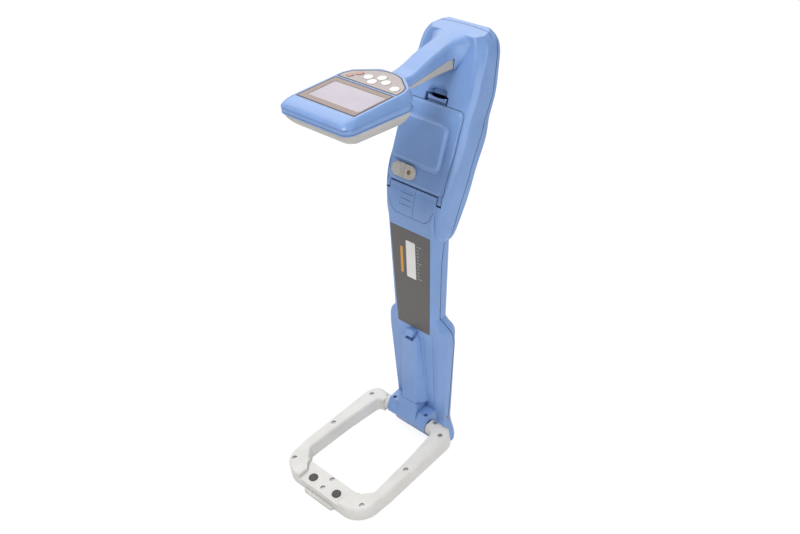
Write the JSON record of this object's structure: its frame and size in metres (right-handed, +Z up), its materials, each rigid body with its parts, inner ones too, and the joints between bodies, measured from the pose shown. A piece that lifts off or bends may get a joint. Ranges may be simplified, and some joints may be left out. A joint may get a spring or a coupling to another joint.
{
  "type": "marker locator",
  "caption": "Standing hand-carried locator with a display head on a forward handle, a hinged battery door, a flared foot and a fold-up flat antenna loop.",
  "frame": {"origin": "middle of the foot's flat underside, on the floor", "axes": "+Z up, the front with its display and loop towards -Y, +X to the right seen from the front"},
  "size_m": [0.175, 0.3136, 0.648],
  "materials": {
    "blue_shell": "satin",
    "grey_shell": "satin",
    "loop_grey": "fine matte",
    "seal_dark": "matte",
    "bumper_black": "matte",
    "label_dark": "printed, satin",
    "keypad": "satin",
    "bezel": "satin",
    "key_white": "smooth",
    "key_brown": "smooth",
    "lcd_glass": "clear",
    "lcd_inner": "smooth",
    "board_green": "solder mask",
    "steel": "zinc plated",
    "brass": "bare",
    "black_plastic": "matte",
    "cell_jacket": "wrapped",
    "ferrite": "sintered",
    "coil_former": "varnished winding"
  },
  "bodies": {
    "locator_body": {"antenna_lower": "ferrite", "antenna_upper": "ferrite", "antenna_vertical": "ferrite", "battery_cells": "cell_jacket", "battery_contacts": "steel", "battery_tray": "black_plastic", "block_screws": "steel", "bracket_clip": "blue_shell", "bracket_spine": "blue_shell", "display_bezel": "bezel", "door_pins": "steel", "foot": "blue_shell", "foot_screws": "brass", "front_shell": "blue_shell", "handle_bottom_shell": "grey_shell", "handle_top_shell": "blue_shell", "head_screws": "steel", "hinge_block": "blue_shell", "hinge_cover_left": "blue_shell", "hinge_cover_right": "blue_shell", "hinge_pins": "steel", "key_board": "board_green", "keypad_overlay": "keypad", "label_plate": "label_dark", "lcd_module": "lcd_inner", "lcd_window": "lcd_glass", "main_board": "board_green", "rear_shell": "blue_shell", "shell_screws": "steel", "shell_seal": "seal_dark"},
    "door": {"battery_door": "blue_shell", "cover_base": "grey_shell", "cover_screw": "brass", "charge_socket": "black_plastic"},
    "latch": {"door_latch": "blue_shell"},
    "flap": {"socket_flap": "grey_shell"},
    "loop": {"loop_upper_shell": "loop_grey", "loop_lower_shell": "loop_grey", "loop_coil": "coil_former", "loop_screws": "steel", "loop_bumpers": "bumper_black"},
    "key_brown_front": {"key_brown_front": "key_brown"},
    "key_brown_rear": {"key_brown_rear": "key_brown"},
    "key_white_front": {"key_white_front": "key_white"},
    "key_white_left": {"key_white_left": "key_white"},
    "key_white_outer": {"key_white_outer": "key_white"},
    "key_white_rear": {"key_white_rear": "key_white"},
    "key_white_right": {"key_white_right": "key_white"}
  },
  "joints": [
    {"name": "loop_fold", "type": "hinge", "parent": "locator_body", "child": "loop", "pos_m": [0, -0.0285, 0.0455], "axis": [-1, 0, 0], "range_deg": [0, 97.5]},
    {"name": "door_hinge", "type": "hinge", "parent": "locator_body", "child": "door", "pos_m": [0, -0.02341, 0.43159], "axis": [1, 0, 0], "range_deg": [0, 100]},
    {"name": "latch_slide", "type": "slide", "parent": "door", "child": "latch", "axis": [0, -0.3355, -0.9421], "range_m": [0, 0.0032], "stiffness_N_per_m": 400},
    {"name": "flap_hinge", "type": "hinge", "parent": "door", "child": "flap", "pos_m": [-0.0204, -0.02409, 0.4589], "axis": [0, 0.3355, 0.9421], "range_deg": [0, 100], "stiffness_Nm_per_rad": 0.004},
    {"name": "key_brown_front_press", "type": "slide", "parent": "locator_body", "child": "key_brown_front", "axis": [0, 0.0976, -0.9952], "range_m": [0, 0.0009], "stiffness_N_per_m": 300},
    {"name": "key_brown_rear_press", "type": "slide", "parent": "locator_body", "child": "key_brown_rear", "axis": [0, 0.0976, -0.9952], "range_m": [0, 0.0009], "stiffness_N_per_m": 300},
    {"name": "key_white_front_press", "type": "slide", "parent": "locator_body", "child": "key_white_front", "axis": [0, 0.0976, -0.9952], "range_m": [0, 0.0009], "stiffness_N_per_m": 300},
    {"name": "key_white_left_press", "type": "slide", "parent": "locator_body", "child": "key_white_left", "axis": [0, 0.0976, -0.9952], "range_m": [0, 0.0009], "stiffness_N_per_m": 300},
    {"name": "key_white_outer_press", "type": "slide", "parent": "locator_body", "child": "key_white_outer", "axis": [0, 0.0976, -0.9952], "range_m": [0, 0.0009], "stiffness_N_per_m": 300},
    {"name": "key_white_rear_press", "type": "slide", "parent": "locator_body", "child": "key_white_rear", "axis": [0, 0.0976, -0.9952], "range_m": [0, 0.0009], "stiffness_N_per_m": 300},
    {"name": "key_white_right_press", "type": "slide", "parent": "locator_body", "child": "key_white_right", "axis": [0, 0.0976, -0.9952], "range_m": [0, 0.0009], "stiffness_N_per_m": 300}
  ]
}
